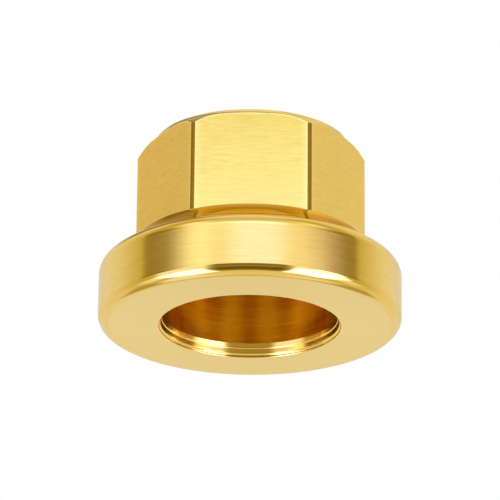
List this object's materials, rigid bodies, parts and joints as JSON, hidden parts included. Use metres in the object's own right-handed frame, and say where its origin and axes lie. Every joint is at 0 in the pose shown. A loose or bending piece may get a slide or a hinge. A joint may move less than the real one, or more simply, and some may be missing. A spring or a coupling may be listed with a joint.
{
  "type": "flange lock nut",
  "caption": "Brass-coloured hexagon lock nut with a wide round-edged bearing flange, a flared neck, a fine thread and a ringed counterbore in its bearing face.",
  "frame": {"origin": "centre of the bearing face, on the thread axis", "axes": "+Z along the thread axis, from the bearing face towards the hexagon; one flat faces -Y"},
  "size_m": [0.0406, 0.0406, 0.026],
  "materials": {
    "brass": "satin"
  },
  "bodies": {
    "root": {"flange_nut": "brass"}
  },
  "joints": []
}
